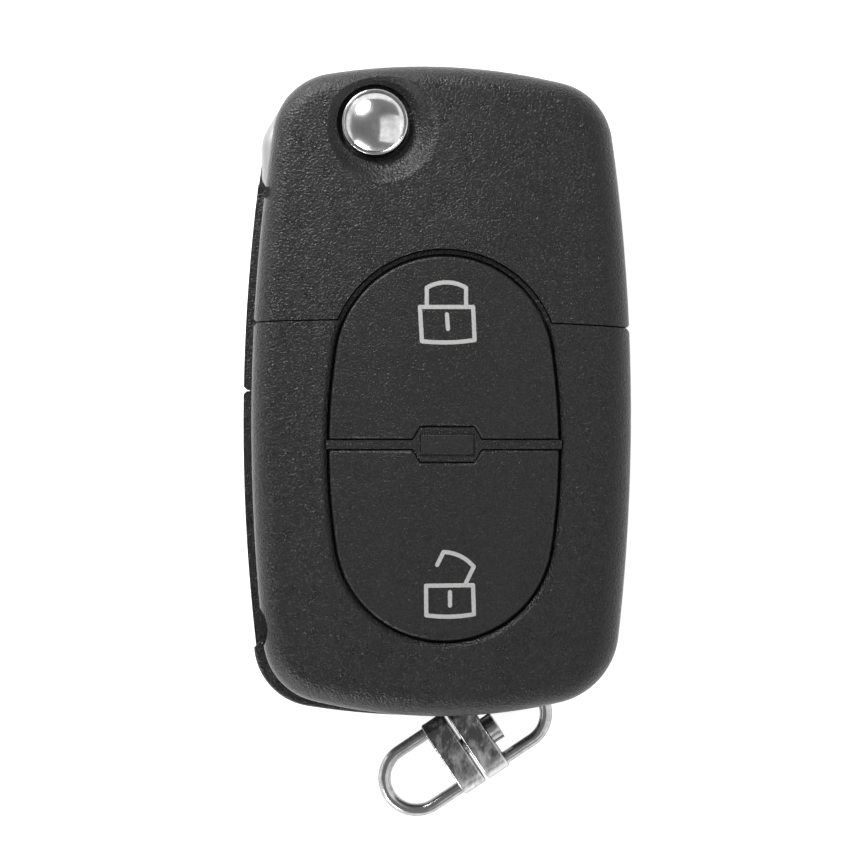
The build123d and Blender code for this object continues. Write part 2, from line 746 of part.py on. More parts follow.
# Front cover of the remote: face with the pad's opening, and the tongue that fills the notch.
with BuildPart() as remote_front_cover:
    front_blank()
    prism(pad_outline(pad_gap), plate_low, 2 * case_thickness, Mode.SUBTRACT)
    rim_edges = edges().filter_by(
        lambda edge: edge.center().Z > ceiling_z + seat_gap
        and abs(edge.center().X - pad_x) < pad_half_width + 2 * pad_gap
        and abs(edge.center().Y - pad_y) < pad_half_height + 2 * pad_gap
    )
    chamfer(rim_edges, rim_chamfer)
    slot_roof(slot_end_y - rib, front_seam_y + rib)
    with BuildSketch(Plane.XY.offset(parting_z)):
        add(pocket_outline(rib))
        add(front_inside, mode=Mode.INTERSECT)
    extrude(amount=rib)
    with BuildSketch(Plane.XY.offset(parting_z)):
        with Locations(post_place):
            Circle(post_radius + rib)
        add(front_outline(), mode=Mode.INTERSECT)
    extrude(amount=post_seat + rib)
    column(post_place, post_radius + ring_leg_gap, parting_z, parting_z + post_seat, mode=Mode.SUBTRACT)
    column(remote_screw, boss_radius, parting_z, ceiling_z)
    column(remote_screw, screw_radius + ring_leg_gap, 0, screw_length + rib, mode=Mode.SUBTRACT)
    remote_seam_radius = front_seam_radius - seam_gap / 2
    seam_side(remote_seam_radius, keep_remote=True)
    with BuildSketch(Plane.XY.offset(parting_z)):
        with Locations(seam_centre):
            Circle(remote_seam_radius)
            Circle(remote_seam_radius - rib, mode=Mode.SUBTRACT)
        add(front_inside, mode=Mode.INTERSECT)
    extrude(amount=ceiling_z - parting_z)
    prism(pad_outline(pad_gap), plate_top, 2 * case_thickness, Mode.SUBTRACT)
    prism(pad_outline(pad_gap + pad_rim + plate_overlap), plate_low, plate_top)
    with BuildSketch(Plane.XY.offset(plate_low)):
        add(pad_outline(pad_gap + pad_rim))
        add(pad_outline(pad_gap), mode=Mode.SUBTRACT)
    extrude(amount=tongue_rim_top - plate_low)
    with BuildSketch(Plane.XY.offset(plate_top)):
        add(bridge_outline())
        add(pad_outline(pad_gap + seat_gap), mode=Mode.INTERSECT)
    extrude(amount=case_thickness - bridge_recess - plate_top)
    for plunger_y in plunger_places:
        block(
            (pad_x - plunger_width / 2 - plunger_gap, pad_x + plunger_width / 2 + plunger_gap),
            (plunger_y - plunger_height / 2 - plunger_gap, plunger_y + plunger_height / 2 + plunger_gap),
            (plate_low, plate_top),
            Mode.SUBTRACT,
        )
    with BuildSketch(Plane.XY.offset(plate_low)):
        with Locations((window_x, bridge_y)):
            Rectangle(window_width + 2 * seat_gap, window_height + 2 * seat_gap)
    extrude(amount=case_thickness, mode=Mode.SUBTRACT)
    with BuildSketch(Plane.XY.offset(membrane_low)):
        with Locations((pad_x, pad_y)):
            Rectangle(membrane_width + 2 * (running_gap + rib), membrane_height + 2 * (running_gap + rib))
            Rectangle(
                membrane_width + 2 * running_gap, membrane_height + 2 * running_gap, mode=Mode.SUBTRACT
            )
    extrude(amount=plate_low - membrane_low)
    block(
        (pad_x - membrane_width / 2 - running_gap, pad_x + membrane_width / 2 + running_gap),
        (pad_y - membrane_height / 2 - running_gap, pad_y + membrane_height / 2 + running_gap),
        (parting_z, plate_low),
        Mode.SUBTRACT,
    )
    lip_room()
    seam_notches(front_notches, parting_z, 2 * case_thickness)
    notch_edge_x = left_side_at(finger_notch_y, front_left)
    column(
        (notch_edge_x + finger_notch_depth - finger_notch_radius, finger_notch_y),
        finger_notch_radius,
        parting_z,
        2 * case_thickness,
        mode=Mode.SUBTRACT,
    )
remote_front_cover.part.label = "remote_front_cover"


def push_button(side):
    """Half of the oval pad, crowned like the face, with a plunger and its two retaining clips."""
    plunger_y = pad_y + side * plunger_offset
    with BuildSketch(Plane.XY.offset(button_low)) as half_oval:
        add(pad_outline())
        add(bridge_outline(bridge_gap), mode=Mode.SUBTRACT)
        with Locations((pad_x, bridge_y + side * pad_half_height)):
            Rectangle(2 * case_right, 2 * pad_half_height, mode=Mode.INTERSECT)
    extrude(half_oval.sketch, amount=case_thickness - button_low)
    with Locations(Location((pad_x, 0, case_thickness - button_recess - face_crown_radius), (90, 0, 0))):
        Cylinder(face_crown_radius, case_span, mode=Mode.INTERSECT)
    fillet(faces().sort_by(Axis.Z)[-1].edges(), button_edge)
    plunger_x = (pad_x - plunger_width / 2, pad_x + plunger_width / 2)
    plunger_span = (plunger_y - plunger_height / 2, plunger_y + plunger_height / 2)
    block(plunger_x, plunger_span, (clip_low, button_low))
    clip_x = (plunger_x[0] - plunger_gap - clip_reach, plunger_x[1] + plunger_gap + clip_reach)
    block(clip_x, (plunger_y - clip_width / 2, plunger_y + clip_width / 2), (clip_low, clip_top))


# The two push buttons.
with BuildPart() as lock_button:
    push_button(1)
lock_button.part.label = "lock_button"

with BuildPart() as unlock_button:
    push_button(-1)
unlock_button.part.label = "unlock_button"

# Clear window of the indicator lamp, pushed up from inside until its flange meets the plate.
with BuildPart() as indicator_window:
    with BuildSketch(Plane.XY.offset(plate_low)):
        with Locations((window_x, bridge_y)):
            Rectangle(window_width, window_height)
    extrude(amount=case_thickness - window_recess - plate_low)
    fillet(faces().sort_by(Axis.Z)[-1].edges(), window_edge)
    with BuildSketch(Plane.XY.offset(plate_low)):
        with Locations((window_x, bridge_y)):
            Rectangle(window_width + 2 * window_flange, window_height + 2 * window_flange)
    extrude(amount=-window_flange_thickness)
indicator_window.part.label = "indicator_window"

# Rubber membrane that carries a contact dome under each plunger.
with BuildPart() as button_membrane:
    with BuildSketch(Plane.XY.offset(membrane_low)):
        with Locations((pad_x, pad_y)):
            Rectangle(membrane_width, membrane_height)
    extrude(amount=plate_low - membrane_low)
    with BuildSketch(Plane.XY.offset(membrane_low + membrane_web)):
        with Locations((pad_x, pad_y)):
            Rectangle(membrane_width - 2 * membrane_border, membrane_height - 2 * membrane_border)
    extrude(amount=plate_low, mode=Mode.SUBTRACT)
    for plunger_y in plunger_places:
        column((pad_x, plunger_y), dome_radius, membrane_low, membrane_top)
button_membrane.part.label = "button_membrane"

# Chrome release button: domed head in a rolled rim, a retaining flange and a hollow stem that
# slides on the post.
with BuildPart() as release_button:
    with BuildSketch(pivot_section):
        with BuildLine():
            Polyline(
                (0, release_flange_high),
                (release_stem_bore, release_flange_high),
                (release_stem_bore, release_stem_low),
                (release_stem_radius, release_stem_low),
                (release_stem_radius, release_flange_low),
                (release_flange_radius, release_flange_low),
                (release_flange_radius, release_flange_high),
                (release_radius, release_flange_high),
                (release_radius, release_skirt_top),
            )
            ThreePointArc(
                (release_radius, release_skirt_top),
                (release_radius - release_rim / 2, release_skirt_top + release_rim / 2),
                (release_radius - release_rim, release_skirt_top),
            )
            TangentArc(
                (0, release_top), (release_radius - release_rim, release_skirt_top), tangent=(1, 0)
            )
            Line((0, release_top), (0, release_flange_high))
        make_face()
    revolve(axis=pivot_axis)
release_button.part.label = "release_button"

# Spring that pushes the release button up and turns the collar out.
with BuildPart() as release_spring:
    spring_low = rear_floor + pivot_cap_thickness + spring_wire / 2
    spring_height = release_flange_low - spring_wire / 2 - spring_low
    with BuildLine() as coil:
        Helix(spring_height / spring_turns, spring_height, spring_radius, (pivot_x, pivot_y, spring_low))
    with BuildSketch(Plane(origin=coil.line @ 0, z_dir=coil.line % 0)):
        Circle(spring_wire / 2)
    sweep()
release_spring.part.label = "release_spring"

# Collar that carries the blade and turns in a bearing of each head cover.
with BuildPart() as blade_collar:
    with BuildSketch(Plane.XY.offset(collar_low)):
        with Locations(pivot):
            Circle(collar_hub_radius)
        with Locations((collar_shoulder_x, collar_shoulder_y)):
            Circle(collar_shoulder_radius)
        with Locations((collar_top_x, collar_top_y)):
            Circle(collar_top_radius)
        with Locations(
            (collar_outer_x + collar_corner_radius, collar_end_y + collar_corner_radius),
            (blade_x + blade_width / 2 - collar_corner_radius, collar_end_y + collar_corner_radius),
        ):
            Circle(collar_corner_radius)
        make_hull()
    extrude(amount=collar_thickness)
    fillet(edges().group_by(Axis.Z)[-1] + edges().group_by(Axis.Z)[0], collar_edge)
    column(pivot, trunnion_radius, trunnion_low, trunnion_high)
    column(pivot, collar_bore_radius, 0, case_thickness, mode=Mode.SUBTRACT)
    block(
        (blade_x - tang_width / 2 - seat_gap, blade_x + tang_width / 2 + seat_gap),
        (collar_end_y, collar_end_y + tang_length + seat_gap),
        (blade_z - blade_thickness / 2, blade_z + blade_thickness / 2),
        Mode.SUBTRACT,
    )
    column(pin_place, blade_pin_radius, 0, case_thickness, mode=Mode.SUBTRACT)
blade_collar.part.label = "blade_collar"

# Uncut blade: a flat bar with a bevelled tip, a milled track on each face and a tang.
with BuildPart() as key_blade:
    blade_low = blade_z - blade_thickness / 2
    blade_range = (blade_x - blade_width / 2, blade_x + blade_width / 2)
    block(blade_range, (blade_tip_y, collar_end_y), (blade_low, blade_low + blade_thickness))
    tip_edges = edges().filter_by(Axis.Z).group_by(Axis.Y)[0]
    chamfer(tip_edges, blade_tip_bevel, 1.2 * blade_tip_bevel)
    for face_z in (blade_low, blade_low + blade_thickness - blade_groove_depth):
        with BuildSketch(Plane.XY.offset(face_z)):
            with Locations((blade_x, (blade_tip_y + collar_end_y) / 2)):
                SlotOverall(collar_end_y - blade_tip_y - 2 * tang_length, blade_groove_width, rotation=90)
        extrude(amount=blade_groove_depth, mode=Mode.SUBTRACT)
    block(
        (blade_x - tang_width / 2, blade_x + tang_width / 2),
        (collar_end_y, collar_end_y + tang_length),
        (blade_low, blade_low + blade_thickness),
    )
    column(pin_place, blade_pin_radius, 0, case_thickness, mode=Mode.SUBTRACT)
key_blade.part.label = "key_blade"

# Cross pin that fixes the blade's tang in the collar.
with BuildPart() as blade_pin:
    column(pin_place, blade_pin_radius, collar_low + seat_gap, collar_high - seat_gap)
    chamfer(edges().group_by(Axis.Z)[-1] + edges().group_by(Axis.Z)[0], blade_pin_radius / 4)
blade_pin.part.label = "blade_pin"

# Cap under the spring, with the post that guides the release button.
with BuildPart() as pivot_cap:
    column(pivot, collar_bore_radius - running_gap, rear_floor, rear_floor + pivot_cap_thickness)
    column(pivot, pivot_post_radius, rear_floor, pivot_post_top)
    column(pivot, screw_radius + ring_leg_gap, 0, pivot_post_top - seat_gap, mode=Mode.SUBTRACT)
pivot_cap.part.label = "pivot_cap"

with BuildPart() as pivot_screw:
    case_screw(pivot, pivot_screw_length)
pivot_screw.part.label = "pivot_screw"

with BuildPart() as case_screws:
    case_screw(head_screw, screw_length)
    case_screw(remote_screw, screw_length)
case_screws.part.label = "case_screws"

# Spring steel clips that would grip the coin cell, folded from strip.
with BuildPart() as cell_clip_positive:
    clip_x = cell_x + cell_radius + rib / 2
    with BuildSketch(Plane(origin=(0, cell_y + clip_width / 2, 0), x_dir=(1, 0, 0), z_dir=(0, -1, 0))):
        with BuildLine():
            FilletPolyline(
                (clip_x + rib, clip_floor),
                (clip_x, clip_floor),
                (clip_x, clip_floor + clip_rise),
                (clip_x - rib, clip_floor + clip_rise - clip_metal),
                radius=clip_bend,
            )
        trace(line_width=clip_metal)
    extrude(amount=clip_width)
cell_clip_positive.part.label = "cell_clip_positive"

with BuildPart() as cell_clip_negative:
    clip_x = cell_x - cell_radius - rib / 2
    with BuildSketch(Plane(origin=(0, cell_y + clip_width / 2, 0), x_dir=(1, 0, 0), z_dir=(0, -1, 0))):
        with BuildLine():
            FilletPolyline(
                (clip_x, clip_floor + clip_rise),
                (clip_x, clip_floor),
                (cell_x - cell_radius / 2, clip_floor),
                (cell_x, clip_floor + clip_leaf_rise),
                (cell_x + cell_radius / 3, clip_floor + clip_leaf_rise - clip_metal),
                radius=clip_bend,
            )
        trace(line_width=clip_metal)
    extrude(amount=clip_width)
cell_clip_negative.part.label = "cell_clip_negative"

# Steel post that the swivel's inner ring hangs on, held between the two remote covers.
with BuildPart() as key_ring_post:
    column(post_place, post_radius, pocket_floor - post_seat, parting_z + post_seat)
key_ring_post.part.label = "key_ring_post"


def swivel_section(distance, side=1):
    """Plane square to the swivel's axis, facing outwards on the given side."""
    return Plane(
        origin=swivel_origin + swivel_direction * (side * distance),
        x_dir=swivel_across,
        z_dir=swivel_direction * side,
    )


def swivel_disc(radius, start, end, mode=Mode.ADD):
    """Round length of the swivel's rivet, or of the hole it runs in."""
    with BuildSketch(swivel_section(start)) as disc:
        Circle(radius)
    extrude(disc.sketch, amount=end - start, mode=mode)


def swivel_ring(side):
    """Wire bent to a U, with both legs in the block of its own side."""
    leg_end = side * (swivel_face - ring_leg_seat)
    with BuildLine(swivel_plane) as wire:
        Line((leg_end, -ring_radius), (side * ring_centre, -ring_radius))
        ThreePointArc(
            (side * ring_centre, -ring_radius),
            (side * (ring_centre + ring_radius), 0),
            (side * ring_centre, ring_radius),
        )
        Line((side * ring_centre, ring_radius), (leg_end, ring_radius))
    with BuildSketch(Plane(origin=wire.line @ 0, z_dir=wire.line % 0)) as section:
        Circle(ring_wire / 2)
    sweep(section.sketch, path=wire.line)


def swivel_block(side, bore):
    """Rounded block with two leg holes in its outer face and the rivet's bore through it."""
    with BuildSketch(swivel_section(swivel_gap / 2, side)) as stadium:
        SlotOverall(swivel_block_length, swivel_block_thickness)
    extrude(stadium.sketch, amount=swivel_block_depth)
    end_faces = faces().filter_by(Axis((0, 0, 0), swivel_direction))
    fillet(end_faces.edges(), swivel_block_edge)
    with BuildSketch(swivel_section(swivel_face, side)) as legs:
        with Locations((ring_radius, 0), (-ring_radius, 0)):
            Circle(ring_wire / 2 + ring_leg_gap)
    extrude(legs.sketch, amount=-ring_leg_seat, mode=Mode.SUBTRACT)
    swivel_disc(bore, -swivel_face, swivel_face, Mode.SUBTRACT)


with BuildPart() as swivel_inner_ring:
    swivel_ring(1)
swivel_inner_ring.part.label = "swivel_inner_ring"

with BuildPart() as swivel_inner_block:
    swivel_block(1, rivet_radius + bearing_clearance)
swivel_inner_block.part.label = "swivel_inner_block"

with BuildPart() as swivel_outer_ring:
    swivel_ring(-1)
swivel_outer_ring.part.label = "swivel_outer_ring"

with BuildPart() as swivel_outer_block:
    swivel_block(-1, rivet_radius + ring_leg_gap)
    swivel_disc(rivet_tail_radius + ring_leg_gap, -swivel_face, rivet_tail_floor, Mode.SUBTRACT)
swivel_outer_block.part.label = "swivel_outer_block"

# Rivet that both blocks turn on: a head inside the inner ring, and a tail peened flush with the
# face of the outer block.
with BuildPart() as swivel_rivet:
    swivel_disc(rivet_radius, rivet_tail_floor, swivel_face + seat_gap)
    swivel_disc(rivet_head_radius, swivel_face + seat_gap, swivel_face + seat_gap + rivet_head_thickness)
    swivel_disc(rivet_tail_radius, -swivel_face, rivet_tail_floor)
swivel_rivet.part.label = "swivel_rivet"

os.makedirs("parts", exist_ok=True)
export_step(head_front_cover.part, "parts/head_front_cover.step")
export_step(head_rear_cover.part, "parts/head_rear_cover.step")
export_step(remote_front_cover.part, "parts/remote_front_cover.step")
export_step(remote_rear_cover.part, "parts/remote_rear_cover.step")
export_step(lock_button.part, "parts/lock_button.step")
export_step(unlock_button.part, "parts/unlock_button.step")
export_step(indicator_window.part, "parts/indicator_window.step")
export_step(button_membrane.part, "parts/button_membrane.step")
export_step(release_button.part, "parts/release_button.step")
export_step(release_spring.part, "parts/release_spring.step")
export_step(blade_collar.part, "parts/blade_collar.step")
export_step(key_blade.part, "parts/key_blade.step")
export_step(blade_pin.part, "parts/blade_pin.step")
export_step(pivot_cap.part, "parts/pivot_cap.step")
export_step(pivot_screw.part, "parts/pivot_screw.step")
export_step(case_screws.part, "parts/case_screws.step")
export_step(cell_clip_positive.part, "parts/cell_clip_positive.step")
export_step(cell_clip_negative.part, "parts/cell_clip_negative.step")
export_step(key_ring_post.part, "parts/key_ring_post.step")
export_step(swivel_inner_ring.part, "parts/swivel_inner_ring.step")
export_step(swivel_inner_block.part, "parts/swivel_inner_block.step")
export_step(swivel_rivet.part, "parts/swivel_rivet.step")
export_step(swivel_outer_block.part, "parts/swivel_outer_block.step")
export_step(swivel_outer_ring.part, "parts/swivel_outer_ring.step")
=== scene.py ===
# %% [markdown]
# # A folding key fob shell
#
# The object is a moulded key fob that lies on its back: a head with a spring-out blade, a
# remote case with two push buttons, and a small wire swivel. Its shapes are finished and come
# in as a model, so what is left for Blender is the camera, the light, the printed signs and the
# surfaces: grained black plastic, chrome, satin metal and steel.
#
# The model could also be built again here, but then the dressed fob and the one whose joints
# model.json describes could drift apart. So the script loads it, never moves it, and hangs
# everything else on it. Lengths are in metres. +Y points to the blade's pivot, +Z out of the button
# face.

import json
import math

import bpy
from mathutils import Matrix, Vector
from mathutils.bvhtree import BVHTree


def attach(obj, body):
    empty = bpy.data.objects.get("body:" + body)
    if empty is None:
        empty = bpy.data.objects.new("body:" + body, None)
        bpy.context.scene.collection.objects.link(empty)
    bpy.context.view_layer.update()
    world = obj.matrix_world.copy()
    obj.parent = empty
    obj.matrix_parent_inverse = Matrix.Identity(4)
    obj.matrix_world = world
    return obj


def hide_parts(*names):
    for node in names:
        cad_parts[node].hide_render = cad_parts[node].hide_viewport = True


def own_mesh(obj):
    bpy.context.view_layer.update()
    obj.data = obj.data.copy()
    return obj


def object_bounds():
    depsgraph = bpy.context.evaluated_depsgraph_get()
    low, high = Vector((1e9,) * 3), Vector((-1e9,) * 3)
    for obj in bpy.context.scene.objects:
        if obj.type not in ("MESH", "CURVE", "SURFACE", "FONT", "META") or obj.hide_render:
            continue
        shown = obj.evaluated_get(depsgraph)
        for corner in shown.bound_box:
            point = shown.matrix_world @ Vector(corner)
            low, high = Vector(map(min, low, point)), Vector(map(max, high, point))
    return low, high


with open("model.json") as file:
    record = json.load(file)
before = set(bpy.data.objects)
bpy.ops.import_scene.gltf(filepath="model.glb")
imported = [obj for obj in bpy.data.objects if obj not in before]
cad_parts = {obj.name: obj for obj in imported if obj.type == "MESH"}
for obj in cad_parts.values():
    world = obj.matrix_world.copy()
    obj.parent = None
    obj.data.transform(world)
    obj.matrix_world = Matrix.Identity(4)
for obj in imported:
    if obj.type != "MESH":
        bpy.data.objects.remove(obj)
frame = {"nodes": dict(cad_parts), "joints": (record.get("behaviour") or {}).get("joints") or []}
scene = bpy.context.scene
nodes = frame["nodes"]
cad_low, cad_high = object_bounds()
MM = 0.001
print("size in mm:", [round(side / MM, 1) for side in cad_high - cad_low])

# %% [markdown]
# ## The camera
#
# A product photograph of a small flat object is taken from straight above. A camera close to it
# would show the sides of the case, and one far away would flatten them out of sight. Here the
# left side of the lower half just shows beside the upper half, as it does from about 27 cm.
#
# The lens follows from two plain sizes: how far the camera is from the button face, and how
# wide the picture is there. Blender wants a focal length for its sensor, which is the same
# ratio, so it is worked out and not typed.

# %% Camera
picture_centre = (-0.7 * MM, -4.53 * MM)
picture_width = 100 * MM
picture_height = 12 * MM
camera_distance = 270 * MM

camera_data = bpy.data.cameras.new("overhead_camera")
camera_data.lens = camera_data.sensor_width * camera_distance / picture_width
camera = bpy.data.objects.new("overhead_camera", camera_data)
camera.location = (*picture_centre, picture_height + camera_distance)
scene.collection.objects.link(camera)
scene.camera = camera
scene.view_settings.view_transform = "Standard"
print("lens", round(camera_data.lens, 1), "mm")

# %% [markdown]
# ## Small helpers for materials
#
# A material is a graph of nodes. Placing nodes by hand in the editor is quick for one material,
# but a dozen finishes share the same few moves, so three short helpers keep them readable: one
# makes an empty material with its shader, one adds a node with its settings, and one joins two
# sockets.

# %% Material helpers
def new_finish(name):
    """An empty material with one surface shader; returns the material, its tree and shader."""
    material = bpy.data.materials.new(name)
    material.use_nodes = True
    tree = material.node_tree
    tree.nodes.clear()
    output = tree.nodes.new("ShaderNodeOutputMaterial")
    shader = tree.nodes.new("ShaderNodeBsdfPrincipled")
    tree.links.new(shader.outputs["BSDF"], output.inputs["Surface"])
    return material, tree, shader


def add(tree, kind, inputs=None, **properties):
    """A node of that kind, with its properties and the values of its input sockets."""
    node = tree.nodes.new("ShaderNode" + kind)
    for name, value in properties.items():
        setattr(node, name, value)
    for name, value in (inputs or {}).items():
        node.inputs[name].default_value = value
    return node


def join(tree, source, target):
    """Leads the output socket source into the input socket target."""
    tree.links.new(source, target)


# %% [markdown]
# ## Floor and backdrop
#
# The object stands before pure white. A white floor that is lit until it clips would throw too
# much light back at the fob. So the floor is an ordinary pale surface for the light that falls
# on the object, and only the camera, and what mirrors or glass show, see a glow added to it.
# The glow lifts the bare floor to white and leaves the shadow under the fob as a soft grey.
# The world behind it is treated in the same way.

# %% Rays that see the background
def seen_directly(tree):
    """1 for rays from the camera, a mirror or a glass, and 0 for the light on surfaces."""
    path = add(tree, "LightPath")
    either = add(tree, "Math", operation="MAXIMUM")
    all_three = add(tree, "Math", operation="MAXIMUM")
    join(tree, path.outputs["Is Camera Ray"], either.inputs[0])
    join(tree, path.outputs["Is Glossy Ray"], either.inputs[1])
    join(tree, either.outputs[0], all_three.inputs[0])
    join(tree, path.outputs["Is Transmission Ray"], all_three.inputs[1])
    return all_three.outputs[0]


# %% Floor and world
def level_square(name, half_side, height):
    """A large square at that height around the object, which isn't part of it."""
    corners = [(-1, -1), (1, -1), (1, 1), (-1, 1)]
    mesh = bpy.data.meshes.new(name)
    vertices = [(x * half_side, y * half_side, height) for x, y in corners]
    mesh.from_pydata(vertices, [], [(0, 1, 2, 3)])
    square = bpy.data.objects.new(name, mesh)
    scene.collection.objects.link(square)
    return square


def make_floor(half_side, drop, paper_white, glow):
    """White paper, a hair below the fob so that it doesn't share a plane with the fob's back."""
    floor = level_square("floor", half_side, -drop)
    material = bpy.data.materials.new("white_paper")
    material.use_nodes = True
    tree = material.node_tree
    tree.nodes.clear()
    output = add(tree, "OutputMaterial")
    paper = add(tree, "BsdfDiffuse", {"Color": (paper_white, paper_white, paper_white, 1.0)})
    light = add(tree, "Emission")
    both = add(tree, "AddShader")
    strength = add(tree, "Math", operation="MULTIPLY")
    strength.inputs[1].default_value = glow
    join(tree, seen_directly(tree), strength.inputs[0])
    join(tree, strength.outputs[0], light.inputs["Strength"])
    join(tree, paper.outputs[0], both.inputs[0])
    join(tree, light.outputs[0], both.inputs[1])
    join(tree, both.outputs[0], output.inputs["Surface"])
    floor.data.materials.append(material)


def make_world(fill):
    """White where it is seen, and a soft grey fill for the light on surfaces."""
    world = bpy.data.worlds.new("studio")
    scene.world = world
    world.use_nodes = True
    tree = world.node_tree
    tree.nodes.clear()
    output = add(tree, "OutputWorld")
    background = add(tree, "Background", {"Color": (1.0, 1.0, 1.0, 1.0)})
    level = add(tree, "MapRange", {"To Min": fill, "To Max": 1.0})
    join(tree, seen_directly(tree), level.inputs["Value"])
    join(tree, level.outputs[0], background.inputs["Strength"])
    join(tree, background.outputs[0], output.inputs["Surface"])


make_floor(half_side=3.0, drop=0.02 * MM, paper_white=0.85, glow=0.75)
make_world(fill=0.24)
print("floor and world are made")

# %% [markdown]
# ## Studio light
#
# The chrome button shows where the lamps were: a broad window on the right, a strong round lamp
# close by on the upper left, a thin strip low on the lower left, and plain grey overhead. The
# strong lamp also draws the light rim of the dish and the upper left corner of the case. It
# stands about 36 degrees above the floor: higher up it would light the flat face as much as
# the rim, and lower down it would leave the case dark.
#
# One could light with the world alone, but then chrome has nothing to mirror. So each softbox
# is an area lamp aimed at the fob, and a grey ceiling hangs above the camera. A lamp is
# described by its direction, its distance, its size, its twist about its own axis and how
# bright its face looks, because that is what is read off the photograph. Blender wants watts,
# which follow from the brightness and the area of the face.

# %% Softboxes
def softbox(name, direction, distance, width, height, brightness, shape="RECTANGLE", twist=0.0):
    """Area lamp whose face looks that bright, where 1 is the white of a lit sheet of paper."""
    lamp = bpy.data.lights.new(name, "AREA")
    lamp.shape = shape
    lamp.size = width
    lamp.size_y = height
    area = width * height * (math.pi / 4 if shape == "ELLIPSE" else 1.0)
    lamp.energy = brightness * math.pi * area
    holder = bpy.data.objects.new(name, lamp)
    towards = Vector(direction).normalized()
    holder.location = towards * distance
    holder.rotation_euler = towards.to_track_quat("Z", "Y").to_euler()
    holder.rotation_euler.rotate_axis("Z", math.radians(twist))
    holder.visible_camera = False
    scene.collection.objects.link(holder)
    print(name, "stands", round(math.degrees(math.asin(towards.z))), "degrees above the floor")


softbox(
    "window_right",
    direction=(0.61, -0.15, 0.78),
    distance=0.60,
    width=0.72,
    height=0.60,
    brightness=0.75,
    twist=14.0,
)
softbox(
    "key_upper_left",
    direction=(-0.425, 0.690, 0.586),
    distance=0.215,
    width=0.09,
    height=0.062,
    brightness=27.0,
    shape="ELLIPSE",
)
softbox(
    "strip_lower_left",
    direction=(-0.546, -0.718, 0.432),
    distance=0.43,
    width=0.22,
    height=0.03,
    brightness=38.0,
)

# %% Ceiling
def make_ceiling(height, half_side, glow):
    """A plain grey glow above the camera, which the camera itself doesn't see."""
    ceiling = level_square("ceiling", half_side, height)
    material = bpy.data.materials.new("grey_ceiling")
    material.use_nodes = True
    tree = material.node_tree
    tree.nodes.clear()
    output = add(tree, "OutputMaterial")
    light = add(tree, "Emission", {"Color": (1.0, 1.0, 1.0, 1.0), "Strength": glow})
    join(tree, light.outputs[0], output.inputs["Surface"])
    ceiling.data.materials.append(material)
    ceiling.visible_camera = False


make_ceiling(height=0.9, half_side=1.8, glow=0.23)

# %% [markdown]
# ## Grained plastic
#
# The mould of such a case is spark eroded, so the plastic comes out covered in fine pits about a
# quarter of a millimetre across. Each pit catches the lamp on one side, and that is the sparkle
# on a case that is otherwise nearly black. The pits have to stay shallow: steep ones would
# spread the lamp's reflection over the whole face, and the rim of the dish would be lost.
#
# Real pits as geometry would take millions of faces, and an image would have to be unwrapped.
# A noise texture in the object's own coordinates has neither problem: it is as fine as wanted,
# it has no seams, and it rides along when a piece moves. It drives a Bump node, whose distance
# is the real depth of the pits. A second, finer noise paints light specks into the colour, a
# painted sparkle on top of the lamp's glints in the pits.

# %% Grain
def own_place(tree):
    """Each point's place in the piece's own coordinates, in metres."""
    return add(tree, "TexCoord").outputs["Object"]


def noise(tree, size, detail=2.0, roughness=0.5, distortion=0.0, stretch=None):
    """Noise whose blotches are about that large, in metres. A stretch below 1 draws them out."""
    place = own_place(tree)
    if stretch:
        mapping = add(tree, "Mapping", {"Scale": stretch})
        join(tree, place, mapping.inputs["Vector"])
        place = mapping.outputs["Vector"]
    texture = add(
        tree,
        "TexNoise",
        {"Scale": 1.0 / size, "Detail": detail, "Roughness": roughness, "Distortion": distortion},
    )
    join(tree, place, texture.inputs["Vector"])
    return texture.outputs["Fac"]


def between(tree, value, low, high, start=0.3, end=0.7):
    """The value spread from start..end to low..high. Most of a noise lies in 0.3 to 0.7."""
    spread = add(
        tree, "MapRange", {"From Min": start, "From Max": end, "To Min": low, "To Max": high}
    )
    join(tree, value, spread.inputs["Value"])
    return spread.outputs[0]


# A Mix node has sockets for numbers, vectors and colours under the same names, so those for
# colours are found by their places.
mix_share, mix_first, mix_second, mix_colour = 0, 6, 7, 2


def tint(tree, value, dark, light):
    """A colour between two colours, picked by a value from 0 to 1."""
    mix = add(tree, "Mix", data_type="RGBA")
    join(tree, value, mix.inputs[mix_share])
    mix.inputs[mix_first].default_value = (*dark, 1.0)
    mix.inputs[mix_second].default_value = (*light, 1.0)
    return mix.outputs[mix_colour]


def bump(tree, height, depth, below=None):
    """A normal bumped by a height map of that depth, in metres, over another bump if given."""
    node = add(tree, "Bump", {"Strength": 1.0, "Distance": depth})
    join(tree, height, node.inputs["Height"])
    if below:
        join(tree, below, node.inputs["Normal"])
    return node.outputs["Normal"]


# %% Grained plastic
plastic_ior = 1.47
waves_per_grain = 9.0


def grained_plastic(name, grain_size, grain_depth, glint_speck_size, dark, light, rough_low, rough_high):
    """Nearly black plastic with shallow pits, a slow waviness under them, and painted sparkle."""
    material, tree, shader = new_finish(name)
    shader.inputs["IOR"].default_value = plastic_ior
    pits = between(tree, noise(tree, grain_size), 0.0, 1.0)
    waves = noise(tree, grain_size * waves_per_grain)
    fine = bump(tree, pits, grain_depth)
    join(tree, bump(tree, waves, grain_depth, below=fine), shader.inputs["Normal"])
    # light specks in the colour, painted in as sparkle
    painted_glints = between(tree, noise(tree, glint_speck_size, detail=1.0), 0.0, 1.0)
    join(tree, tint(tree, painted_glints, dark, light), shader.inputs["Base Color"])
    join(tree, between(tree, waves, rough_low, rough_high), shader.inputs["Roughness"])
    return material


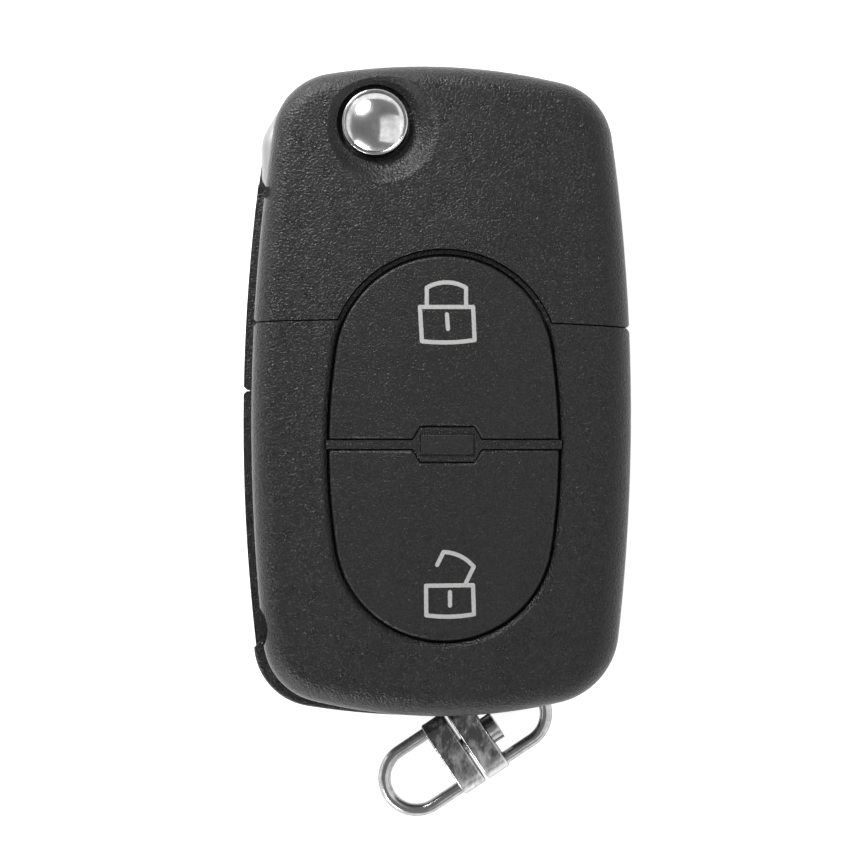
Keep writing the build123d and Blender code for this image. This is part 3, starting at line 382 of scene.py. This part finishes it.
# %% Case, buttons and window
finishes = {}
finishes["case_plastic"] = grained_plastic(
    "case_plastic",
    grain_size=0.25 * MM,
    grain_depth=0.065 * MM,
    glint_speck_size=0.19 * MM,
    dark=(0.005, 0.005, 0.0051),
    light=(0.022, 0.022, 0.0223),
    rough_low=0.26,
    rough_high=0.32,
)
finishes["button_plastic"] = grained_plastic(
    "button_plastic",
    grain_size=0.24 * MM,
    grain_depth=0.055 * MM,
    glint_speck_size=0.18 * MM,
    dark=(0.008, 0.008, 0.0082),
    light=(0.022, 0.022, 0.0223),
    rough_low=0.28,
    rough_high=0.34,
)
finishes["window_plastic"] = grained_plastic(
    "window_plastic",
    grain_size=0.20 * MM,
    grain_depth=0.040 * MM,
    glint_speck_size=0.16 * MM,
    dark=(0.010, 0.010, 0.0105),
    light=(0.018, 0.018, 0.0185),
    rough_low=0.36,
    rough_high=0.44,
)
print("plastics:", ", ".join(finishes))

# %% [markdown]
# ## Chrome, satin metal and steel
#
# Plated metal has almost no colour of its own. What tells chrome from zinc or steel is how
# sharp its reflections are, so these finishes differ mostly in roughness and in the marks on
# them: faint smears on the button, dents on the swivel's wire, a fine brushing on the collar,
# milling lines on the blade.
#
# The two blocks of the swivel lie flat and hardly mirror a lamp, so their colour carries painted
# shade where the case shields them and painted light at the far end, over random blotches and
# real scratches. The painted shade runs across the swivel's own axis, so that axis and its place
# come from the joint.

# %% Plated metal
def grey(level):
    """A colour without a hue."""
    return (level, level, level)


dull_edge = (*grey(0.3), 1.0)  # worn plating mirrors less where it is seen at a flat angle


def plated_metal(name, colour, stain, rough_low, rough_high, smear_size, dent_size, dent_depth):
    """Chrome with faint smears, which are darker and rougher, and with shallow dents."""
    material, tree, shader = new_finish(name)
    shader.inputs["Metallic"].default_value = 1.0
    shader.inputs["Specular Tint"].default_value = dull_edge
    smears = noise(tree, smear_size, detail=4.0, roughness=0.6)
    shade = grey(colour * stain)
    stained = tint(tree, between(tree, smears, 0.0, 1.0), shade, grey(colour))
    join(tree, stained, shader.inputs["Base Color"])
    join(tree, between(tree, smears, rough_high, rough_low), shader.inputs["Roughness"])
    dents = noise(tree, dent_size, detail=1.0)
    join(tree, bump(tree, dents, dent_depth), shader.inputs["Normal"])
    return material


# %% Scratched metal with painted shade
blotch_size = 1.0 * MM
cloudiness = 0.6
scratch_size = 0.30 * MM
scratch_cover = 0.8
nick_size = 1.6 * MM
nick_depth = 0.05 * MM


def scratched_metal_painted_shade(name, dark, light, scratch, along, dark_end, light_end, rough_dark, rough_light):
    """Plating with painted shade at one end and painted light at the other, with blotches and
    scratches.
    """
    material, tree, shader = new_finish(name)
    shader.inputs["Metallic"].default_value = 1.0
    shader.inputs["Specular Tint"].default_value = dull_edge
    # painted shade and light: darker towards dark_end, lighter towards light_end along the axis
    place = add(tree, "VectorMath", operation="DOT_PRODUCT")
    join(tree, own_place(tree), place.inputs[0])
    place.inputs[1].default_value = along
    painted_shade = between(tree, place.outputs["Value"], 0.0, 1.0, start=dark_end, end=light_end)
    blotches = noise(tree, blotch_size, detail=4.0, roughness=0.65, stretch=(1.0, 0.5, 1.0))
    clouds = between(tree, blotches, -cloudiness, cloudiness)
    painted_shade_and_blotches = add(tree, "Math", operation="ADD", use_clamp=True)
    join(tree, painted_shade, painted_shade_and_blotches.inputs[0])
    join(tree, clouds, painted_shade_and_blotches.inputs[1])
    plated = tint(tree, painted_shade_and_blotches.outputs[0], grey(dark), grey(light))
    lines = noise(tree, scratch_size, detail=3.0, distortion=0.6, stretch=(1.0, 0.35, 1.0))
    marks = between(tree, lines, 0.0, scratch_cover, start=0.64, end=0.72)
    scored = add(tree, "Mix", data_type="RGBA")
    join(tree, marks, scored.inputs[mix_share])
    join(tree, plated, scored.inputs[mix_first])
    scored.inputs[mix_second].default_value = (*grey(scratch), 1.0)
    join(tree, scored.outputs[mix_colour], shader.inputs["Base Color"])
    roughness = between(tree, painted_shade_and_blotches.outputs[0], rough_dark, rough_light, start=0.0, end=1.0)
    join(tree, roughness, shader.inputs["Roughness"])
    nicks = noise(tree, nick_size)
    join(tree, bump(tree, nicks, nick_depth), shader.inputs["Normal"])
    return material


# %% Brushed metal
shade_between_lines = 0.86


def brushed_metal(name, colour, rough_low, rough_high, line_size, line_depth, stretch):
    """Bare metal with fine lines that run along the axis where stretch is small."""
    material, tree, shader = new_finish(name)
    shader.inputs["Metallic"].default_value = 1.0
    lines = noise(tree, line_size, detail=3.0, roughness=0.65, stretch=stretch)
    shade = tuple(channel * shade_between_lines for channel in colour)
    brushed = tint(tree, between(tree, lines, 0.0, 1.0), shade, colour)
    join(tree, brushed, shader.inputs["Base Color"])
    join(tree, between(tree, lines, rough_low, rough_high), shader.inputs["Roughness"])
    join(tree, bump(tree, lines, line_depth), shader.inputs["Normal"])
    return material


# %% Chrome
finishes["release_chrome"] = plated_metal(
    "release_chrome",
    colour=0.90,
    stain=0.50,
    rough_low=0.10,
    rough_high=0.26,
    smear_size=1.9 * MM,
    dent_size=2.4 * MM,
    dent_depth=0.04 * MM,
)
finishes["swivel_chrome"] = plated_metal(
    "swivel_chrome",
    colour=0.60,
    stain=0.70,
    rough_low=0.14,
    rough_high=0.30,
    smear_size=0.9 * MM,
    dent_size=2.6 * MM,
    dent_depth=0.16 * MM,
)
print("chrome: release_chrome, swivel_chrome")

# %% Blocks of the swivel, with painted shade
spin = next(joint for joint in frame["joints"] if joint["name"] == "swivel_spin")
spin_axis = Vector(spin["axis"])
across_spin = Vector((-spin_axis.y, spin_axis.x, 0.0))
spin_place = across_spin.dot(Vector(spin["pos_m"]))
# painted shade reaches this far beyond the axis, painted light this far before it
dark_beyond_axis = 1.6 * MM
bright_before_axis = 4.9 * MM
finishes["block_painted_shade"] = scratched_metal_painted_shade(
    "block_painted_shade",
    dark=0.19,
    light=0.78,
    scratch=0.92,
    along=tuple(across_spin),
    dark_end=spin_place + dark_beyond_axis,
    light_end=spin_place - bright_before_axis,
    rough_dark=0.22,
    rough_light=0.38,
)
# the painted shade and light on the blocks run over this length
print("the wear runs over", round((dark_beyond_axis + bright_before_axis) / MM, 1), "mm")

# %% Satin metal and steel
brushings = {
    # name: colour, lowest and highest roughness, size and depth of the lines, stretch
    "collar_metal": (grey(0.46), 0.52, 0.62, 0.12 * MM, 0.004 * MM, (1.0, 1.0, 0.05)),
    "blade_steel": (grey(0.66), 0.22, 0.36, 0.10 * MM, 0.006 * MM, (1.0, 0.03, 1.0)),
    "spring_steel": ((0.55, 0.55, 0.56), 0.25, 0.40, 0.2 * MM, 0.004 * MM, (1.0, 1.0, 1.0)),
    "screw_steel": ((0.42, 0.42, 0.43), 0.28, 0.42, 0.15 * MM, 0.006 * MM, (1.0, 1.0, 1.0)),
    "clip_metal": ((0.68, 0.66, 0.60), 0.25, 0.38, 0.12 * MM, 0.004 * MM, (0.05, 1.0, 1.0)),
}
for name, brushing in brushings.items():
    finishes[name] = brushed_metal(name, *brushing)
print("brushed:", ", ".join(brushings))

# %% [markdown]
# ## Rubber
#
# The membrane under the buttons is moulded silicone. It is matt, slightly uneven in tone, and
# has no sharp highlights, which a little sheen and a high roughness give.

# %% Rubber
def moulded_rubber(name, dark, light, cloud_size, cloud_depth, rough_low, rough_high, sheen):
    """Matt silicone, a little uneven in tone."""
    material, tree, shader = new_finish(name)
    shader.inputs["Sheen Weight"].default_value = sheen
    cloud = noise(tree, cloud_size, detail=3.0)
    colour = tint(tree, between(tree, cloud, 0.0, 1.0), grey(dark), grey(light))
    join(tree, colour, shader.inputs["Base Color"])
    join(tree, between(tree, cloud, rough_low, rough_high), shader.inputs["Roughness"])
    join(tree, bump(tree, cloud, cloud_depth), shader.inputs["Normal"])
    return material


finishes["membrane_rubber"] = moulded_rubber(
    "membrane_rubber",
    dark=0.10,
    light=0.14,
    cloud_size=0.8 * MM,
    cloud_depth=0.01 * MM,
    rough_low=0.65,
    rough_high=0.8,
    sheen=0.25,
)
print("rubber: membrane_rubber")

# %% [markdown]
# ## Hand the finishes to the pieces
#
# Each piece of the model already names the finish that it should have. So the script looks that
# name up, swaps the plain stand-in for the full material, and leaves the mesh as it is. Only
# the swivel's two blocks differ: the model calls them chrome like the wire, and here they get a
# finish with painted shade.

# %% Assign finishes
# the swivel's blocks get painted shade and light in place of plain chrome
own_finish = {"swivel_inner_block": "block_painted_shade", "swivel_outer_block": "block_painted_shade"}
for name, node in sorted(nodes.items()):
    for slot in node.material_slots:
        wanted = own_finish.get(name, slot.material.name.split(".")[0])
        slot.material = finishes[wanted]
        print(name, "gets", wanted)

# %% [markdown]
# ## The spring under the release button
#
# On the real fob this spring gets shorter as the button goes down. The model's own spring is
# stiff, so the pressed button would cut through it. So a copy of its mesh stands for it: it
# hangs on the case with a mesh of its own, and the model's spring is hidden.

# %% Release spring
spring_coil = bpy.data.objects.new("release_spring_coil", nodes["release_spring"].data.copy())
scene.collection.objects.link(spring_coil)
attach(spring_coil, "case")
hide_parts("release_spring")
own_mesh(spring_coil)

# %% [markdown]
# ## Printed padlocks
#
# The two buttons carry a closed and an open padlock, pad printed in light grey. A picture
# mapped on the button would be blurred close up, and drawn tubes would overlap where strokes
# meet. Ink is one flat film, so it is made as one.
#
# Each sign is a list of strokes. On a fine grid, every point gets its distance from the nearest
# stroke, and the film is what lies within half a line's width. Cells that the edge runs through
# are cut where the distance crosses that value, so the outline is smooth. Each corner is then
# dropped on the button's own crowned face, found by a ray from above.

# %% Strokes of the signs
def arc_points(start, end, rise, steps=16):
    """Points on an arc from start to end that bulges to its left by the given rise."""
    chord = end - start
    middle = (start + end) / 2
    normal = Vector((-chord.y, chord.x)).normalized()
    radius = (chord.length**2 / 4 + rise**2) / (2 * rise)
    centre = middle + normal * (rise - radius)
    half_turn = math.asin(chord.length / 2 / abs(radius))
    points = []
    for step in range(steps + 1):
        turn = half_turn * (1 - 2 * step / steps)
        across = chord.normalized() * (-abs(radius) * math.sin(turn))
        along = normal * (radius * math.cos(turn))
        points.append(centre + across + along)
    return points


def padlock_body(top_left, top_right, bottom_right, bottom_left, bow):
    """Outline of the body, whose lower edge bows down a little."""
    lower = arc_points(bottom_left, bottom_right, -bow)
    return [top_left, *lower, top_right, top_left]


def turned(point, degrees):
    """The point turned about the origin."""
    cosine, sine = math.cos(math.radians(degrees)), math.sin(math.radians(degrees))
    return Vector((point.x * cosine - point.y * sine, point.x * sine + point.y * cosine))


def shackle(foot, width, near_leg, far_leg, rise, turn):
    """Bow of the padlock, from its right foot, turned about that foot."""
    right = Vector((0.0, near_leg))
    left = Vector((-width, near_leg))
    path = [Vector((0.0, 0.0)), *arc_points(right, left, -rise), left - Vector((0.0, far_leg))]
    return [foot + turned(point, turn) for point in path]


# %% Both padlocks
def mm(x, y):
    """A point on the button face, given in millimetres."""
    return Vector((x * MM, y * MM))


line_width = 0.48 * MM
closed_body = padlock_body(
    mm(-1.85, 9.57), mm(4.24, 9.57), mm(4.41, 5.78), mm(-1.63, 5.64), bow=0.2 * MM
)
closed_shackle = shackle(
    mm(3.43, 9.57), width=4.5 * MM, near_leg=2.2 * MM, far_leg=2.2 * MM, rise=0.62 * MM, turn=0.0
)
closed_keyhole = [mm(1.24, 8.73), mm(1.36, 7.05)]
closed_padlock = [closed_body, closed_shackle, closed_keyhole]
open_body = padlock_body(
    mm(-1.16, -22.38), mm(4.23, -22.31), mm(4.34, -25.64), mm(-1.12, -25.76), bow=0.22 * MM
)
open_shackle = shackle(
    mm(3.34, -22.2), width=3.86 * MM, near_leg=2.22 * MM, far_leg=1.64 * MM, rise=0.42 * MM, turn=-26.0
)
open_keyhole = [mm(1.59, -23.11), mm(1.59, -24.63)]
open_padlock = [open_body, open_shackle, open_keyhole]
print("strokes:", len(closed_padlock), "closed,", len(open_padlock), "open")

# %% Distance and cut cells
def distance_to_strokes(point, strokes):
    """How far the point is from the nearest of the strokes' straight spans."""
    nearest = math.inf
    for stroke in strokes:
        for start, end in zip(stroke, stroke[1:]):
            span = end - start
            share = min(max((point - start).dot(span) / span.length_squared, 0.0), 1.0)
            nearest = min(nearest, (point - start - span * share).length)
    return nearest


def film_cell(corners, levels):
    """The part of a grid cell where the level is below zero, as a list of points."""
    outline = []
    for index in range(4):
        here, there = corners[index], corners[(index + 1) % 4]
        a, b = levels[index], levels[(index + 1) % 4]
        if a <= 0:
            outline.append(here)
        if (a <= 0) != (b <= 0):
            outline.append(here.lerp(there, a / (a - b)))
    return outline


# %% Film of ink
cell = 0.05 * MM
ink_thickness = 0.025 * MM


def print_sign(name, strokes, carrier, body):
    """A film of ink in the shape of the strokes, half above the carrier's face and half in it."""
    points = [point for stroke in strokes for point in stroke]
    low_x = min(point.x for point in points) - line_width
    low_y = min(point.y for point in points) - line_width
    columns = math.ceil((max(point.x for point in points) + line_width - low_x) / cell)
    rows = math.ceil((max(point.y for point in points) + line_width - low_y) / cell)
    grid = [
        [Vector((low_x + c * cell, low_y + r * cell)) for c in range(columns + 1)]
        for r in range(rows + 1)
    ]
    half_line = line_width / 2
    level = [[distance_to_strokes(point, strokes) - half_line for point in line] for line in grid]
    tree = BVHTree.FromPolygons(
        [vertex.co for vertex in carrier.data.vertices],
        [polygon.vertices for polygon in carrier.data.polygons],
    )
    vertices, faces, known = [], [], {}

    def corner(point):
        """Number of the vertex there, which is dropped on the button when it is first used."""
        key = (round(point.x / MM, 4), round(point.y / MM, 4))
        if key not in known:
            hit = tree.ray_cast(Vector((point.x, point.y, 2 * cad_high.z)), Vector((0, 0, -1)))[0]
            known[key] = len(vertices)
            vertices.append((point.x, point.y, hit.z + ink_thickness))
        return known[key]

    for r in range(rows):
        for c in range(columns):
            places = ((r, c), (r, c + 1), (r + 1, c + 1), (r + 1, c))
            outline = film_cell([grid[i][j] for i, j in places], [level[i][j] for i, j in places])
            if len(outline) > 2:
                face = [corner(point) for point in outline]
                face = [v for i, v in enumerate(face) if v != face[i - 1]]
                if len(face) > 2:
                    faces.append(face)
    mesh = bpy.data.meshes.new(name)
    mesh.from_pydata(vertices, [], faces)
    sign = bpy.data.objects.new(name, mesh)
    scene.collection.objects.link(sign)
    thick = sign.modifiers.new("ink", "SOLIDIFY")
    thick.thickness = 2 * ink_thickness
    thick.offset = -1.0
    mesh.materials.append(finishes["sign_ink"])
    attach(sign, body)
    print(name, "has", len(faces), "faces")


# %% Print both signs
def printed_ink(name, dark, light, pit_size, pit_depth, rough_low, rough_high):
    """Light grey ink that is darker and smoother where the grain below it dips."""
    material, tree, shader = new_finish(name)
    pits = noise(tree, pit_size, detail=3.0, roughness=0.6)
    join(tree, tint(tree, between(tree, pits, 0.0, 1.0), dark, light), shader.inputs["Base Color"])
    join(tree, between(tree, pits, rough_low, rough_high), shader.inputs["Roughness"])
    join(tree, bump(tree, pits, pit_depth), shader.inputs["Normal"])
    return material


finishes["sign_ink"] = printed_ink(
    "sign_ink",
    dark=(0.44, 0.44, 0.435),
    light=(0.54, 0.54, 0.535),
    pit_size=0.26 * MM,
    pit_depth=0.012 * MM,
    rough_low=0.45,
    rough_high=0.6,
)
print_sign("closed_padlock_print", closed_padlock, nodes["lock_button"], "lock")
print_sign("open_padlock_print", open_padlock, nodes["unlock_button"], "unlock")
